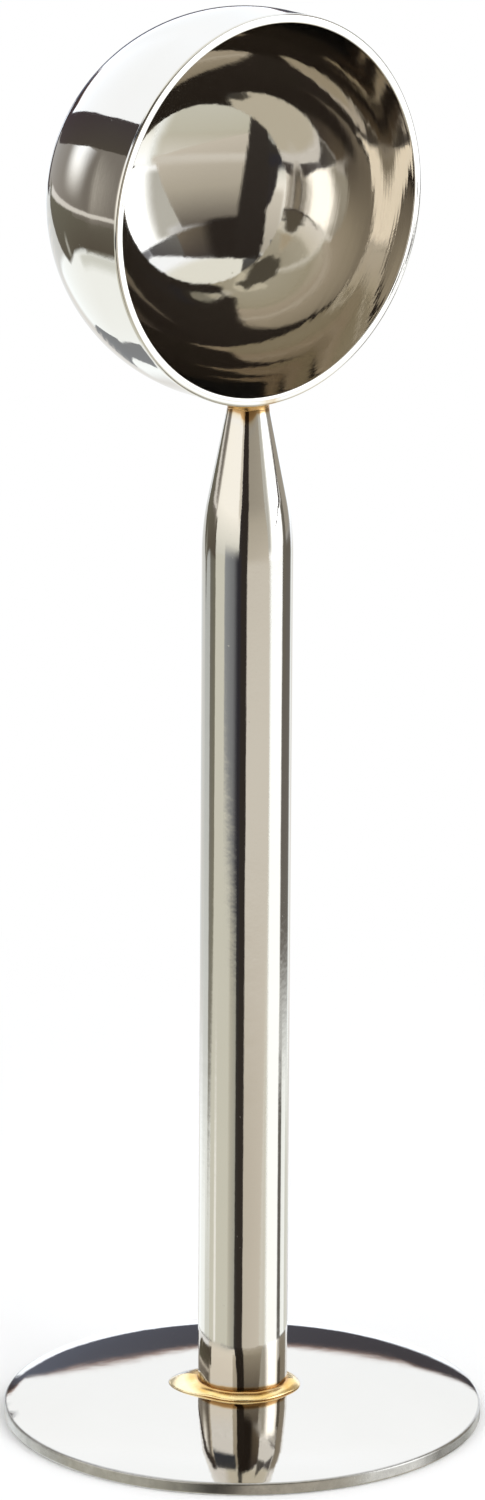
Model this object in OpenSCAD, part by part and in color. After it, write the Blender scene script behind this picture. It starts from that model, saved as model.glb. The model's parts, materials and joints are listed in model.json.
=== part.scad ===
// Coffee measuring spoon: a deep round bowl on an upright tube handle that stands on a crowned tamping disc.
// The origin is the centre of the disc's underside, +Z runs up the handle and the bowl opens towards -Y.

/* [Tamping disc] */
// Diameter of the disc, which fits inside a filter basket
disc_d = 50; // [46:0.5:58]
// Height of the disc's upright edge
edge_h = 1.3; // [0.8:0.1:3]
// Width of the flat seat left clear round the brazing in the middle of the top
seat_margin = 0.7; // [0.3:0.1:3]
// Radius of the crown, which falls away from the seat
crown_r = 95; // [60:5:180]
// Radius of the roll-off next to the edge
roll_r = 34; // [20:1:60]
// Distance in from the edge where the roll-off starts
roll_w = 6; // [3:0.5:8]
// Radius of the disc's two outer corners
disc_corner_r = 0.25; // [0.1:0.05:0.35]

/* [Handle tube] */
// Outer diameter of the drawn tube
tube_d = 9.35; // [7:0.05:14]
// Wall of the tube
tube_wall = 0.8; // [0.5:0.05:1.2]
// Height of the handle, from the disc's crown to the bowl
handle_len = 106.3; // [70:0.5:150]
// Diameter of the neck where it meets the bowl
neck_d = 4; // [3:0.1:6]
// Length of the swaged cone
neck_len = 13.2; // [8:0.2:25]
// Radius of the soft bend between tube and cone
neck_bend_r = 31; // [5:1:50]

/* [Bowl] */
// Outer diameter of the bowl
bowl_d = 40.2; // [30:0.2:60]
// Wall of the bowl
bowl_wall = 0.95; // [0.6:0.05:1.6]
// Depth of the straight wall before the round bottom starts
bowl_straight = 4.2; // [2:0.1:12]
// How far the rim stands in front of the neck's side
neck_lead = 1.35; // [1.2:0.05:6]
// Radius of the rim's outer corner
rim_outer_r = 0.3; // [0.1:0.05:0.4]
// Radius of the rim's inner corner
rim_inner_r = 0.1; // [0.05:0.01:0.15]

/* [Brazing] */
// Width of the foot's bead on the disc, out from the tube
bead_w = 1.2; // [0.5:0.1:2]
// Height of the foot's bead on the tube
bead_h = 0.8; // [0.4:0.1:1.5]
// Radius of the large pool beside the bead
pool_r = 5.3; // [3:0.1:7]
// Height of the large pool at its own centre
pool_h = 1.1; // [0.5:0.05:2]
// How far the large pool reaches out from the tube's side
pool_reach = 3.1; // [2:0.1:4.5]
// Direction of the pool from the tube's axis, in degrees from +X
pool_angle = 140; // [0:5:355]
// Radius of the hollow fillet between the neck and the bowl
neck_fillet_r = 1.2; // [1.1:0.1:1.5]
// Height of that fillet on the neck
neck_fillet_h = 0.9; // [0.6:0.05:0.95]
// Play left in a brazed seam
seam_gap = 0.02; // [0.01:0.01:0.1]

/* [Hidden] */
$fn = 180;
// Sides of a round cut that leaves only a little of a small piece
fine_fn = 720;
// Sides of a circle of which only a shallow arc is used
arc_fn = 2880;
steel = "gainsboro";
filler = "goldenrod";
// Overlap that keeps cuts clean
eps = 0.01;
disc_r = disc_d / 2;
tube_r = tube_d / 2;
neck_r = neck_d / 2;
bowl_r = bowl_d / 2;
// How far the rim stands in front of the handle's axis
rim_reach = neck_r + neck_lead;
// Radius of the flat seat that the tube and its brazing stand on
seat_r = tube_r + pool_reach + seat_margin;

// The top falls away from the seat on two arcs that run into each other. Each sine is that of the slope at
// the arc's outer end.
crown_end = disc_r - roll_w;
crown_sine = (crown_end - seat_r) / crown_r;
roll_sine = crown_sine + roll_w / roll_r;
function cos_of(sine) = sqrt(1 - sine * sine);
crown_drop = crown_r * (1 - cos_of(crown_sine));
roll_drop = roll_r * (cos_of(crown_sine) - cos_of(roll_sine));
// Height of the seat, the highest part of the disc
seat_z = edge_h + crown_drop + roll_drop;
// Centres of the arcs: the roll-off's lies on the crown's radius through the point where they meet
crown_centre = [seat_r, seat_z - crown_r];
roll_centre = crown_centre + (crown_r - roll_r) * [crown_sine, cos_of(crown_sine)];

// Height of the bowl's lowest line, where the neck ends
neck_top = seat_z + handle_len;
bowl_z = neck_top + bowl_r;
// Height where the tube's side and the cone's side would cross if they had no bend between them
cone_z = neck_top - neck_len;
cone_angle = atan((tube_r - neck_r) / neck_len);
// The neck runs this far up before the bowl's wall cuts it to a saddle
saddle_rise = bowl_wall / 2;

// Radius of the sphere whose cap has this base radius and this height
function cap_sphere_r(base_r, h) = (base_r * base_r + h * h) / (2 * h);

// Height of the cap that rises from base_r and still has height h at a radius of r
function cap_top(base_r, r, h) =
    let (c = (base_r * base_r - r * r - h * h) / (2 * h))
    sqrt(base_r * base_r + c * c) - c;

// What rounding a corner takes away: the square corner at the origin outside its arc
module corner_waste(r) {
    difference() {
        translate([-eps, -eps]) square(r + eps);
        translate([r, r]) circle(r);
    }
}

// The part of the disc's section under one arc, from start to end
module under_arc(centre, r, start, end) {
    intersection() {
        translate([start, 0]) square([end - start, seat_z]);
        translate(centre) circle(r, $fn = arc_fn);
    }
}

// Section of the disc: flat below, crowned round the flat seat, with a small round nose that runs into the
// roll-off where both point the same way
module disc_section() {
    nose_x = disc_r - disc_corner_r;
    nose_reach = nose_x - roll_centre[0];
    inner_roll_r = roll_r - disc_corner_r;
    nose_z = roll_centre[1] + sqrt(inner_roll_r * inner_roll_r - nose_reach * nose_reach);
    meet_x = roll_centre[0] + nose_reach * roll_r / inner_roll_r;
    difference() {
        union() {
            square([seat_r, seat_z]);
            under_arc(crown_centre, crown_r, seat_r - eps, crown_end);
            under_arc(roll_centre, roll_r, crown_end - eps, meet_x);
            square([disc_r, nose_z]);
            translate([nose_x, nose_z]) circle(disc_corner_r);
        }
        translate([disc_r, 0]) mirror([1, 0]) corner_waste(disc_corner_r);
    }
}

module tamper_disc() {
    color(steel) rotate_extrude() disc_section();
}

// Section of a swaged rod: straight up to a soft bend, then a cone. The wall is the same rod made smaller
// by that wall on every side.
module swaged_section(inset) {
    arc_r = neck_bend_r - inset;
    side_r = tube_r - inset;
    corner_z = cone_z - inset * tan(cone_angle / 2);
    tangent = arc_r * tan(cone_angle / 2);
    arc_z = corner_z - tangent;
    arc_h = arc_r * sin(cone_angle);
    arc_top_r = side_r - tangent * sin(cone_angle);
    top_z = neck_top + saddle_rise;
    top_r = arc_top_r - (top_z - arc_z - arc_h) * tan(cone_angle);
    translate([0, seat_z]) square([side_r, arc_z - seat_z]);
    intersection() {
        translate([0, arc_z - eps]) square([side_r, arc_h + 2 * eps]);
        translate([side_r - arc_r, arc_z]) circle(arc_r);
    }
    polygon([[0, arc_z + arc_h], [arc_top_r, arc_z + arc_h], [top_r, top_z], [0, top_z]]);
}

module handle_tube() {
    color(steel) difference() {
        rotate_extrude() difference() {
            swaged_section(0);
            swaged_section(tube_wall);
            translate([0, seat_z - eps]) square([tube_r - tube_wall, 2 * eps]);
        }
        bowl_envelope(seam_gap);
    }
}

// Puts a shape that stands on its rim at the origin, opening down, at the bowl's place
module at_bowl() {
    translate([0, -rim_reach, bowl_z]) rotate([-90, 0, 0]) children();
}

// Quarter section of a closed bowl: a straight wall with a quarter circle on it
module bowl_form(r, straight) {
    square([r, straight]);
    translate([0, straight]) intersection() {
        circle(r);
        square(r);
    }
}

// The space inside the bowl's outer skin, grown by a gap
module bowl_envelope(gap) {
    at_bowl() rotate_extrude() translate([0, -gap]) bowl_form(bowl_r + gap, bowl_straight + gap);
}

module bowl() {
    inner_r = bowl_r - bowl_wall;
    color(steel) at_bowl() rotate_extrude() difference() {
        bowl_form(bowl_r, bowl_straight);
        bowl_form(inner_r, bowl_straight);
        translate([0, -eps]) square([inner_r, 2 * eps]);
        translate([bowl_r, 0]) mirror([1, 0]) corner_waste(rim_outer_r);
        translate([inner_r, 0]) corner_waste(rim_inner_r);
    }
}

// A drop of filler on the disc: the cap of a sphere with this base radius and height
module filler_cap(base_r, h) {
    r = cap_sphere_r(base_r, h);
    intersection() {
        translate([0, 0, h - r]) sphere(r);
        cylinder(r = base_r + h, h = 2 * h);
    }
}

module foot_braze() {
    bead_r = tube_r + bead_w;
    pool_x = tube_r + pool_reach - pool_r;
    color(filler) translate([0, 0, seat_z]) difference() {
        union() {
            filler_cap(bead_r, cap_top(bead_r, tube_r, bead_h));
            rotate(pool_angle) translate([pool_x, 0, 0]) filler_cap(pool_r, pool_h);
        }
        translate([0, 0, -eps]) cylinder(r = tube_r + seam_gap, h = tube_d);
    }
}

// Section of the filler round the neck: the corner under the bowl, hollowed by the fillet's circle, which
// leaves the cone smoothly and meets the bowl at an open angle
module neck_fillet_section() {
    low_z = neck_top - neck_fillet_h;
    circle_x = neck_r + neck_fillet_h * tan(cone_angle) + neck_fillet_r;
    difference() {
        translate([0, low_z]) square([rim_reach - rim_outer_r, neck_fillet_h + saddle_rise]);
        translate([circle_x, low_z]) circle(neck_fillet_r);
        swaged_section(-seam_gap);
    }
}

module neck_braze() {
    color(filler) difference() {
        rotate_extrude() neck_fillet_section();
        bowl_envelope(seam_gap, $fn = fine_fn);
    }
}

tamper_disc();
handle_tube();
bowl();
foot_braze();
neck_braze();
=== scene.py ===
# %% [markdown]
# # A coffee measuring spoon, dressed for the camera
#
# The real object is a coffee measure of polished stainless steel. A round bowl is brazed sideways to a
# drawn tube, and the tube stands on a crowned disc that levels the coffee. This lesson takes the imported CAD
# model as a fixed frame and gives it the surfaces that a camera sees: mirror steel, golden brazing filler
# and a studio for the steel to reflect.
#
# A mirror has no look of its own. It shows the room. So half of the lesson is about the shapes, which must be
# smooth enough to carry a reflection, and the other half is about the cards that stand round them.

# %% Load the frame
import bpy
import bmesh
import json
import math
from mathutils import Matrix, Vector, noise

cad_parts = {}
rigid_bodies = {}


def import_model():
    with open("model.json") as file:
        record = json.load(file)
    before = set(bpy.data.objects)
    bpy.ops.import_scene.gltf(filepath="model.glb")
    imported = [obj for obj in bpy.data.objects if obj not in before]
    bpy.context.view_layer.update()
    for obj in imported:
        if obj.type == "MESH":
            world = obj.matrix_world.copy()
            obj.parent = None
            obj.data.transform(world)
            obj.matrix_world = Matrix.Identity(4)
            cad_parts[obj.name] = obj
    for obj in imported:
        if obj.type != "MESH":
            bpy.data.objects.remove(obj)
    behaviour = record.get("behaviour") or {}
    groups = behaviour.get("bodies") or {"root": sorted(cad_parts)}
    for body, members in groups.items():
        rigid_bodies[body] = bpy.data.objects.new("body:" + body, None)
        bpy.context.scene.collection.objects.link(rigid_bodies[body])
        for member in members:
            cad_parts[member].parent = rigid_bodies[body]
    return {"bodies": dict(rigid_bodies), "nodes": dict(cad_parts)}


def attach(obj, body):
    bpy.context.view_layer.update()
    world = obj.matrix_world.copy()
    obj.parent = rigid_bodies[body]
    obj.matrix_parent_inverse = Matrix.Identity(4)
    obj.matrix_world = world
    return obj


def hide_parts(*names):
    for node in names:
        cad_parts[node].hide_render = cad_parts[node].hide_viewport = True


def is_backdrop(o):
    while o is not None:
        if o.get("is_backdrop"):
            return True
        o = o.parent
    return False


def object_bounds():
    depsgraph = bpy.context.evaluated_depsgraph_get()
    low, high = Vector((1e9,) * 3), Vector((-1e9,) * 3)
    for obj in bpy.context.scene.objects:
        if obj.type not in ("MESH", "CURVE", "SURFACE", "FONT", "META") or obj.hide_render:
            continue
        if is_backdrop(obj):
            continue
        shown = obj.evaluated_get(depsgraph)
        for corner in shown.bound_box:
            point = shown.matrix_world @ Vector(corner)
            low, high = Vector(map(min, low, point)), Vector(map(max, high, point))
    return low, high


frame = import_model()
cad_box = [list(corner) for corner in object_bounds()]
BODY = list(frame["bodies"])[0]
print("Nodes:", sorted(frame["nodes"]))
print("CAD box in mm:", [[round(value * 1000, 2) for value in corner] for corner in cad_box])

# %% [markdown]
# The sizes are those of the part's source, in millimetres. Blender works in metres, so one factor turns them
# when a mesh is made. What depends on another size is worked out here and never typed twice.

# %% Sizes of the real pieces
MM = 0.001

DISC_R = 25.0
DISC_EDGE_H = 1.3
DISC_CORNER_R = 0.25
CROWN_R = 95.0
ROLL_R = 34.0
ROLL_W = 6.0
SEAT_MARGIN = 0.7

TUBE_R = 4.675
HANDLE_LEN = 106.3
NECK_R = 2.0
NECK_LEN = 13.2
NECK_BEND_R = 31.0

BOWL_R = 20.1
BOWL_WALL = 0.95
BOWL_STRAIGHT = 4.2
NECK_LEAD = 1.35
RIM_OUTER_R = 0.3
RIM_INNER_R = 0.1
FLARE_ANGLE = 2.0

BEAD_W = 1.2
BEAD_H = 0.8
POOL_REACH = 3.1
POOL_ANGLE = 140.0
NECK_FILLET_R = 1.2
NECK_FILLET_H = 0.9

SEAT_R = TUBE_R + POOL_REACH + SEAT_MARGIN
CROWN_SINE = (DISC_R - ROLL_W - SEAT_R) / CROWN_R
ROLL_SINE = CROWN_SINE + ROLL_W / ROLL_R
CROWN_SLOPE = math.asin(CROWN_SINE)
ROLL_SLOPE = math.asin(ROLL_SINE)
CROWN_DROP = CROWN_R * (1 - math.cos(CROWN_SLOPE))
ROLL_DROP = ROLL_R * (math.cos(CROWN_SLOPE) - math.cos(ROLL_SLOPE))
SEAT_Z = DISC_EDGE_H + CROWN_DROP + ROLL_DROP
NECK_TOP = SEAT_Z + HANDLE_LEN
BOWL_Z = NECK_TOP + BOWL_R
RIM_Y = -(NECK_R + NECK_LEAD)
CONE_Z = NECK_TOP - NECK_LEN
CONE_ANGLE = math.atan((TUBE_R - NECK_R) / NECK_LEN)
FLARE_SLOPE = math.tan(math.radians(FLARE_ANGLE))
FLARE_LEN = BOWL_STRAIGHT - RIM_OUTER_R
FLARE_DROP = FLARE_SLOPE * FLARE_LEN / 2
print("The seat is at", round(SEAT_Z, 3), "mm and the bowl's axis at", round(BOWL_Z, 3), "mm")

# %% [markdown]
# The camera comes first, because everything is judged through it. The photograph was taken from nearly a
# metre away with a long lens, from a little above. A pinhole camera was fitted to the edges of the disc, the
# tube, the rim and the bowl, and these numbers are what came out. The turn about Z is there because the CAD
# model puts the bowl's mouth towards -Y, while the photographer stood to the left of it.
#
# Cards and lamps are placed by degrees to the right of the camera and degrees above the horizon. The
# function toward turns these into a direction.

# %% Camera
CAMERA_AZIMUTH = -39.8
CAMERA_ELEVATION = 16.09
CAMERA_ROLL = 0.353
CAMERA_DISTANCE = 896.7
CAMERA_AIM = (-0.388, 72.288)
LONG_SIDE_PX = 1500
FOCAL_PX = 8721.1
SENSOR_MM = 36.0
CLIP_START = 0.05
CLIP_END = 20.0


def put(name, data):
    """A new object in the scene."""
    thing = bpy.data.objects.new(name, data)
    bpy.context.scene.collection.objects.link(thing)
    return thing


def make_camera():
    data = bpy.data.cameras.new("studio_camera")
    data.sensor_width = SENSOR_MM
    data.lens = SENSOR_MM * FOCAL_PX / LONG_SIDE_PX
    data.clip_start = CLIP_START
    data.clip_end = CLIP_END
    camera = put("studio_camera", data)
    turn = Matrix.Rotation(math.radians(CAMERA_AZIMUTH), 4, "Z")
    lean = Matrix.Rotation(math.radians(90 - CAMERA_ELEVATION), 4, "X")
    roll = Matrix.Rotation(math.radians(CAMERA_ROLL), 4, "Z")
    aim = turn @ Vector((CAMERA_AIM[0], 0, CAMERA_AIM[1])) * MM
    back = Matrix.Translation((0, 0, CAMERA_DISTANCE * MM))
    camera.matrix_world = Matrix.Translation(aim) @ turn @ lean @ roll @ back
    bpy.context.scene.camera = camera
    return camera


def toward(azimuth, elevation):
    """The direction that lies azimuth degrees to the right of the camera and elevation above the horizon."""
    a = math.radians(azimuth + CAMERA_AZIMUTH)
    e = math.radians(elevation)
    return Vector((math.sin(a) * math.cos(e), -math.cos(a) * math.cos(e), math.sin(e)))


camera = make_camera()
bpy.context.scene.view_settings.view_transform = "Standard"
print("Lens:", round(camera.data.lens, 2), "mm")

# %% [markdown]
# Each turned or spun piece of the spoon is described by its section: a list of points, each a radius and a
# height along the axis. Straight stretches are cut into short steps as well as the arcs, because Blender
# spreads the normals between neighbouring points, and on a mirror one long stretch next to an arc would show
# as a smear.

# %% Sections out of lines and arcs
def line(start, end, step=0.5):
    """Points from start up to, but without, end."""
    length = math.dist(start, end)
    count = max(1, math.ceil(length / step))
    return [
        (start[0] + (end[0] - start[0]) * i / count, start[1] + (end[1] - start[1]) * i / count)
        for i in range(count)
    ]


def arc(centre, radius, start, end, step=1.0):
    """Points on an arc between two angles in degrees, without the last one."""
    count = max(2, math.ceil(abs(end - start) / step))
    points = []
    for i in range(count):
        angle = math.radians(start + (end - start) * i / count)
        points.append((centre[0] + radius * math.cos(angle), centre[1] + radius * math.sin(angle)))
    return points


def disc_section():
    """From the middle of the underside round the edge to the middle of the seat."""
    crown_centre = (SEAT_R, SEAT_Z - CROWN_R)
    reach = CROWN_R - ROLL_R
    roll_centre = (
        crown_centre[0] + reach * math.sin(CROWN_SLOPE),
        crown_centre[1] + reach * math.cos(CROWN_SLOPE),
    )
    nose_x = DISC_R - DISC_CORNER_R
    nose_lean = math.asin((nose_x - roll_centre[0]) / (ROLL_R - DISC_CORNER_R))
    nose_z = roll_centre[1] + (ROLL_R - DISC_CORNER_R) * math.cos(nose_lean)
    nose_top = 90 - math.degrees(nose_lean)
    points = line((0, 0), (nose_x, 0), step=1.0)
    points += arc((nose_x, DISC_CORNER_R), DISC_CORNER_R, -90, 0, step=9)
    points += line((DISC_R, DISC_CORNER_R), (DISC_R, nose_z), step=0.1)
    points += arc((nose_x, nose_z), DISC_CORNER_R, 0, nose_top, step=6)
    points += arc(roll_centre, ROLL_R, nose_top, 90 - math.degrees(CROWN_SLOPE), step=0.4)
    points += arc(crown_centre, CROWN_R, 90 - math.degrees(CROWN_SLOPE), 90, step=0.25)
    points += line((SEAT_R, SEAT_Z), (0, SEAT_Z), step=0.5)
    return points + [(0, SEAT_Z)]


def tube_section():
    """From the foot up the side and the swaged cone. The neck ends inside the bowl's wall."""
    tangent = NECK_BEND_R * math.tan(CONE_ANGLE / 2)
    bend_centre = (TUBE_R - NECK_BEND_R, CONE_Z - tangent)
    cone_foot_z = bend_centre[1] + NECK_BEND_R * math.sin(CONE_ANGLE)
    cone_foot_r = bend_centre[0] + NECK_BEND_R * math.cos(CONE_ANGLE)
    hidden_rise = BOWL_WALL / 3
    top_r = NECK_R - hidden_rise * math.tan(CONE_ANGLE)
    points = line((0, SEAT_Z), (TUBE_R, SEAT_Z), step=1.0)
    points += line((TUBE_R, SEAT_Z), (TUBE_R, bend_centre[1]), step=1.0)
    points += arc(bend_centre, NECK_BEND_R, 0, math.degrees(CONE_ANGLE), step=0.5)
    points += line((cone_foot_r, cone_foot_z), (top_r, NECK_TOP + hidden_rise), step=0.5)
    points += line((top_r, NECK_TOP + hidden_rise), (0, NECK_TOP + hidden_rise), step=0.5)
    return points + [(0, NECK_TOP + hidden_rise)]


def flared(radius, depth):
    """The wall's radius at a depth below the rim. It opens towards the rim, most of all at the very end."""
    depth = min(max(depth - RIM_OUTER_R, 0.0), FLARE_LEN)
    return radius - FLARE_SLOPE * (depth - depth * depth / (2 * FLARE_LEN))


def bowl_section():
    """From the bottom of the inside over the rim to the bottom of the outside, with the mouth at height 0."""
    inner_r = BOWL_R - BOWL_WALL
    steps = 16
    depths = [RIM_OUTER_R + FLARE_LEN * i / steps for i in range(steps + 1)]
    points = arc((0, BOWL_STRAIGHT), inner_r - FLARE_DROP, 90, 0, step=1.0)
    points += [(flared(inner_r, depth), depth) for depth in reversed(depths)]
    points += arc((inner_r + RIM_INNER_R, RIM_INNER_R), RIM_INNER_R, 180, 270, step=15)
    points += line((inner_r + RIM_INNER_R, 0), (BOWL_R - RIM_OUTER_R, 0), step=0.08)
    points += arc((BOWL_R - RIM_OUTER_R, RIM_OUTER_R), RIM_OUTER_R, 270, 360, step=6)
    points += [(flared(BOWL_R, depth), depth) for depth in depths[:-1]]
    points += arc((0, BOWL_STRAIGHT), BOWL_R - FLARE_DROP, 0, 90, step=1.0)
    return points + [(0, BOWL_STRAIGHT + BOWL_R - FLARE_DROP)]


sections = {"disc": disc_section(), "tube": tube_section(), "bowl": bowl_section()}
print("Points in the sections:", {name: len(points) for name, points in sections.items()})

# %% [markdown]
# A lathe turns a section round an axis, and one small Geometry Nodes tree does the same for all three
# pieces. It lays out a grid with one row for each point of the section and one column for each step of the
# turn. Every grid point looks up its place in the section and is turned by its share of the full circle.
# Merging what coincides closes the seam and both poles.

# %% A lathe in Geometry Nodes
MERGE = 0.000002


def node(tree, kind, settings=None, **inputs):
    """Adds a node. An input's name has underlines for spaces, and _0 picks the first input."""
    made = tree.nodes.new(kind)
    for name, value in (settings or {}).items():
        setattr(made, name, value)
    for name, value in inputs.items():
        if name.startswith("_"):
            socket = made.inputs[int(name[1:])]
        else:
            socket = made.inputs[name.replace("_", " ")]
        if isinstance(value, bpy.types.NodeSocket):
            tree.links.new(value, socket)
        else:
            socket.default_value = value
    return made


def make_lathe_tree():
    tree = bpy.data.node_groups.new("lathe", "GeometryNodeTree")
    faces = tree.interface
    faces.new_socket("Geometry", in_out="INPUT", socket_type="NodeSocketGeometry")
    faces.new_socket("Steps", in_out="INPUT", socket_type="NodeSocketInt")
    faces.new_socket("Finish", in_out="INPUT", socket_type="NodeSocketMaterial")
    faces.new_socket("Geometry", in_out="OUTPUT", socket_type="NodeSocketGeometry")
    section, steps, finish = list(tree.nodes.new("NodeGroupInput").outputs)[:3]
    size = node(tree, "GeometryNodeAttributeDomainSize", {"component": "MESH"}, Geometry=section)
    points = size.outputs["Point Count"]
    columns = node(tree, "FunctionNodeIntegerMath", {"operation": "ADD"}, _0=steps, _1=1).outputs[0]
    grid = node(tree, "GeometryNodeMeshGrid", None, Vertices_X=columns, Vertices_Y=points)
    index = tree.nodes.new("GeometryNodeInputIndex").outputs[0]
    row = node(tree, "FunctionNodeIntegerMath", {"operation": "MODULO"}, _0=index, _1=points).outputs[0]
    column = node(tree, "FunctionNodeIntegerMath", {"operation": "DIVIDE"}, _0=index, _1=points).outputs[0]
    place = tree.nodes.new("GeometryNodeInputPosition").outputs[0]
    look_up = {"data_type": "FLOAT_VECTOR"}
    sample = node(tree, "GeometryNodeSampleIndex", look_up, Geometry=section, Value=place, Index=row)
    share = node(tree, "ShaderNodeMath", {"operation": "DIVIDE"}, _0=column, _1=steps).outputs[0]
    angle = node(tree, "ShaderNodeMath", {"operation": "MULTIPLY"}, _0=share, _1=math.tau).outputs[0]
    about_z = {"rotation_type": "Z_AXIS"}
    turned = node(tree, "ShaderNodeVectorRotate", about_z, Vector=sample.outputs[0], Angle=angle).outputs[0]
    moved = node(tree, "GeometryNodeSetPosition", None, Geometry=grid.outputs[0], Position=turned)
    merged = node(tree, "GeometryNodeMergeByDistance", None, Geometry=moved.outputs[0], Distance=MERGE)
    smooth = node(tree, "GeometryNodeSetShadeSmooth", None, Geometry=merged.outputs[0])
    real = node(tree, "GeometryNodeRealizeInstances", None, Geometry=smooth.outputs[0])
    dressed = node(tree, "GeometryNodeSetMaterial", None, Geometry=real.outputs[0], Material=finish)
    out = tree.nodes.new("NodeGroupOutput")
    tree.links.new(dressed.outputs[0], out.inputs[0])
    return tree


lathe_tree = make_lathe_tree()
print("The lathe has", len(lathe_tree.nodes), "nodes")

# %% [markdown]
# The tree's result is baked to a plain mesh. A section that was walked the other way round would give a shape
# that is inside out, so the volume's sign is measured and the faces are flipped if it is negative.

# %% Turning a piece
def signed_volume(mesh):
    total = 0.0
    mesh.calc_loop_triangles()
    for triangle in mesh.loop_triangles:
        a, b, c = (mesh.vertices[i].co for i in triangle.vertices)
        total += a.dot(b.cross(c)) / 6
    return total


def bake(source, name):
    """The evaluated result of an object's modifiers as a plain object, with the faces pointing outwards."""
    depsgraph = bpy.context.evaluated_depsgraph_get()
    mesh = bpy.data.meshes.new_from_object(source.evaluated_get(depsgraph), depsgraph=depsgraph)
    bpy.data.objects.remove(source)
    mesh.name = name
    if signed_volume(mesh) < 0:
        mesh.flip_normals()
    return put(name, mesh)


def turn_piece(name, section, steps, material, place=None):
    """Turns a section into a piece. place is a matrix that moves the finished piece."""
    mesh = bpy.data.meshes.new(name + "_section")
    edges = [(i, i + 1) for i in range(len(section) - 1)]
    mesh.from_pydata([(r * MM, 0, z * MM) for r, z in section], edges, [])
    blank = put(name + "_section", mesh)
    lathe = blank.modifiers.new("lathe", "NODES")
    lathe.node_group = lathe_tree
    sockets = {s.name: s.identifier for s in lathe_tree.interface.items_tree if s.in_out == "INPUT"}
    lathe[sockets["Steps"]] = steps
    lathe[sockets["Finish"]] = material
    piece = bake(blank, name)
    if place is not None:
        piece.data.transform(place)
    volume = round(signed_volume(piece.data) / MM ** 3, 1)
    print(name, "has", len(piece.data.polygons), "faces and", volume, "mm3")
    return piece


# %% [markdown]
# Shader maths reads better as formulas. This small class wraps an output of a node and turns plus, minus,
# times and divide into Math nodes. A number may also stand in front of a minus.

# %% Formulas for materials
class Flow:
    """A value, vector or colour that flows out of a node."""

    def __init__(self, socket):
        self.socket = socket
        self.tree = socket.id_data

    def math(self, operation, other, swap=False):
        made = self.tree.nodes.new("ShaderNodeMath")
        made.operation = operation
        pair = [other, self] if swap else [self, other]
        for socket, value in zip(made.inputs, pair):
            if isinstance(value, Flow):
                self.tree.links.new(value.socket, socket)
            else:
                socket.default_value = value
        return Flow(made.outputs[0])

    def __add__(self, other):
        return self.math("ADD", other)

    def __sub__(self, other):
        return self.math("SUBTRACT", other)

    def __mul__(self, other):
        return self.math("MULTIPLY", other)

    def __truediv__(self, other):
        return self.math("DIVIDE", other)

    def __rsub__(self, other):
        return self.math("SUBTRACT", other, True)

    def clamp(self):
        """The same value, kept between 0 and 1."""
        made = self.math("ADD", 0.0)
        made.socket.node.use_clamp = True
        return made

    def ramp(self, *stops):
        """A colour ramp, given as pairs of place and colour or grey value."""
        made = self.make("ShaderNodeValToRGB", Fac=self)
        elements = made.socket.node.color_ramp.elements
        while len(elements) < len(stops):
            elements.new(0.5)
        for element, (place, shade) in zip(elements, stops):
            element.position = place
            element.color = shade if isinstance(shade, tuple) else (shade, shade, shade, 1)
        return made

    def make(self, kind, settings=None, output=0, **inputs):
        """Any other node: its type, its settings, and the values or links of its inputs."""
        given = {name: value.socket if isinstance(value, Flow) else value for name, value in inputs.items()}
        return Flow(node(self.tree, kind, settings, **given).outputs[output])


def mix_colour(factor, first, second):
    """Blends two colours. Each may be a flow or four numbers."""
    return factor.make("ShaderNodeMix", {"data_type": "RGBA"}, output=2, _0=factor, _6=first, _7=second)


def new_material(name):
    """A material with its Principled shader and the piece's own coordinates."""
    material = bpy.data.materials.new(name)
    material.use_nodes = True
    tree = material.node_tree
    shader = tree.nodes["Principled BSDF"]
    place = Flow(tree.nodes.new("ShaderNodeTexCoord").outputs["Object"])
    return material, shader, place


def feed(flow, shader, socket):
    flow.tree.links.new(flow.socket, shader.inputs[socket])


def millimetres(place):
    """Object coordinates counted in millimetres."""
    return place.make("ShaderNodeVectorMath", {"operation": "SCALE"}, _0=place, Scale=1 / MM)


def split(vector):
    """The three parts of a vector."""
    made = node(vector.tree, "ShaderNodeSeparateXYZ", None, Vector=vector.socket)
    return [Flow(output) for output in made.outputs]


def grain(place, scale, detail=2.0, roughness=0.5):
    """Noise between 0 and 1. At a scale of 1 its patches are about a millimetre wide."""
    inputs = {"Vector": place, "Scale": scale, "Detail": detail, "Roughness": roughness}
    return place.make("ShaderNodeTexNoise", None, **inputs)


print("Formula class ready")

# %% [markdown]
# Polished stainless steel reflects about two thirds of the light and tints it a little warm, which is why a
# reflection of a reflection inside the bowl looks brown. On the bench the three pieces were buffed in
# different directions: the tube along its length, the bowl while it was spinning, and the disc on its face.
# The buffing leaves hair-fine lines, and the hand that fitted the parts leaves a few dull touches. So one
# function makes the steel, and each piece gets its own direction for the lines.
#
# The torch leaves its mark as well. Each piece has a seam function that is 0 in the filler and grows to 1
# where the steel stayed cold. Lengths in these functions are millimetres.

# %% Mirror steel
STEEL = (0.62, 0.57, 0.495)
PURE_WHITE = (1, 1, 1)
PURE_BLACK = (0, 0, 0)

# Roughness of clean mirror steel, and what smudges, buffing lines, specks and cut edges add to it
CLEAN, SMUDGED, BUFFED, SPECKLED, CUT = 0.01, 0.03, 0.03, 0.2, 0.2
# Noise for smudges, buffing lines, clouds, the mottled painted shade on cut edges, specks and the bowl's
# rings: its scale, detail and roughness
SMUDGE_NOISE = (0.09, 4.0, 0.55)
HAIR_NOISE = (1.0, 3.0, 0.7)
CLOUD_NOISE = (0.35, 3.0, 0.6)
SHADE_MOTTLE_NOISE = (0.8, 4.0, 0.7)
SPECK_NOISE = (1.7, 2.0, 0.8)
RING_NOISE = (0.16, 2.0, 0.5)
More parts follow.
